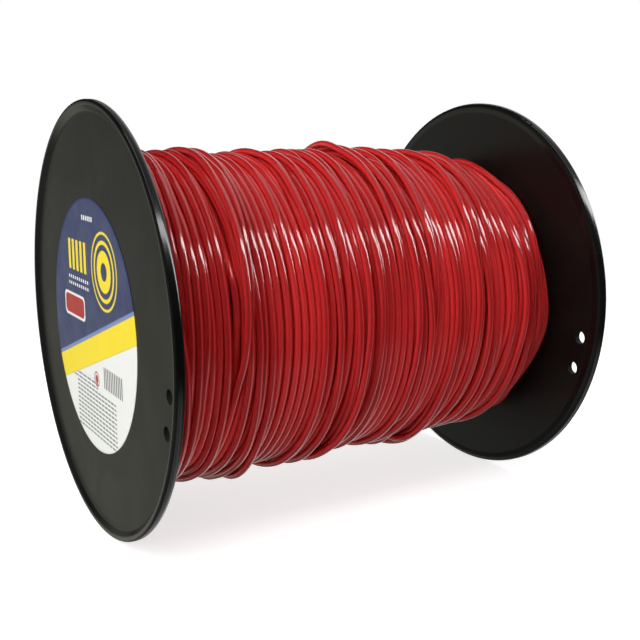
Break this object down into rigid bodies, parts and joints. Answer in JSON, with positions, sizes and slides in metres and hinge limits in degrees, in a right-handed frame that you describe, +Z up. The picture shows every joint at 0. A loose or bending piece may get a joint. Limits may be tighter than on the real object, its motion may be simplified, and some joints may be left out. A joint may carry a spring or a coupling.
{
  "type": "trimmer line reel",
  "caption": "Reel of round red nylon trimmer line: two black raised-rim flanges with tie-off holes snapped on a barrel, wound line between them, and a round sticker.",
  "frame": {"origin": "on the ground under the reel's middle, between the points where its two rims stand", "axes": "+X along the reel's axis from the sticker side to the plain side, +Z up, -Y towards the tie-off holes"},
  "size_m": [0.1832, 0.165, 0.165],
  "materials": {
    "flange_plastic": "moulded black, satin with a slight sheen",
    "barrel_plastic": "moulded black, matt",
    "nylon_line": "extruded nylon, red and glossy",
    "sticker_film": "printed film in navy, yellow and white bands, satin"
  },
  "bodies": {
    "root": {"sticker_side_flange": "flange_plastic", "plain_side_flange": "flange_plastic", "barrel": "barrel_plastic", "line_first_end": "nylon_line", "line_inner_layers": "nylon_line", "line_outer_turns": "nylon_line", "sticker": "sticker_film"}
  },
  "joints": []
}
